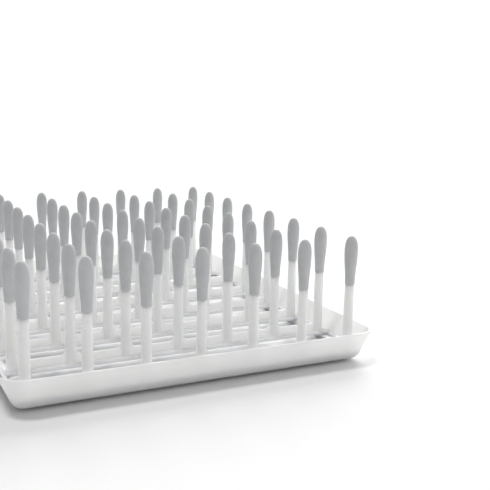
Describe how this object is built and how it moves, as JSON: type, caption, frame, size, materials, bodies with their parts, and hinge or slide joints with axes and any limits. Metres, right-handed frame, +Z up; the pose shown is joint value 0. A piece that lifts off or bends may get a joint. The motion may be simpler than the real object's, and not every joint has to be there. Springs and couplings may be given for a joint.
{
  "type": "bottle drying rack",
  "caption": "Countertop drying rack for baby bottles: a shallow drip tray with flared walls, and a lift-out rack of upright pegs with soft tips.",
  "frame": {"origin": "middle of the footprint, on the surface that the feet stand on", "axes": "+X to the right along a row of pegs, +Y from the front to the rear, +Z up"},
  "size_m": [0.261, 0.3172, 0.0902],
  "materials": {
    "tray_plastic": "white moulded plastic, satin gloss",
    "rack_plastic": "white moulded plastic, satin",
    "soft_grip": "soft grey elastomer, matte",
    "pad_rubber": "soft grey elastomer, matte"
  },
  "bodies": {
    "tray": {"drip_tray": "tray_plastic", "foot_pad_front_left": "pad_rubber", "foot_pad_front_right": "pad_rubber", "foot_pad_rear_left": "pad_rubber", "foot_pad_rear_right": "pad_rubber"},
    "rack": {"rack_frame": "rack_plastic", "peg_strip_1": "rack_plastic", "peg_strip_2": "rack_plastic", "peg_strip_3": "rack_plastic", "peg_strip_4": "rack_plastic", "peg_strip_5": "rack_plastic", "peg_strip_6": "rack_plastic", "peg_strip_7": "rack_plastic", "peg_strip_8": "rack_plastic", "soft_tips_1": "soft_grip", "soft_tips_2": "soft_grip", "soft_tips_3": "soft_grip", "soft_tips_4": "soft_grip", "soft_tips_5": "soft_grip", "soft_tips_6": "soft_grip", "soft_tips_7": "soft_grip", "soft_tips_8": "soft_grip"}
  },
  "joints": [
    {"name": "rack_lift", "type": "slide", "parent": "tray", "child": "rack", "axis": [0, 0, 1], "range_m": [0, 0.1]}
  ]
}
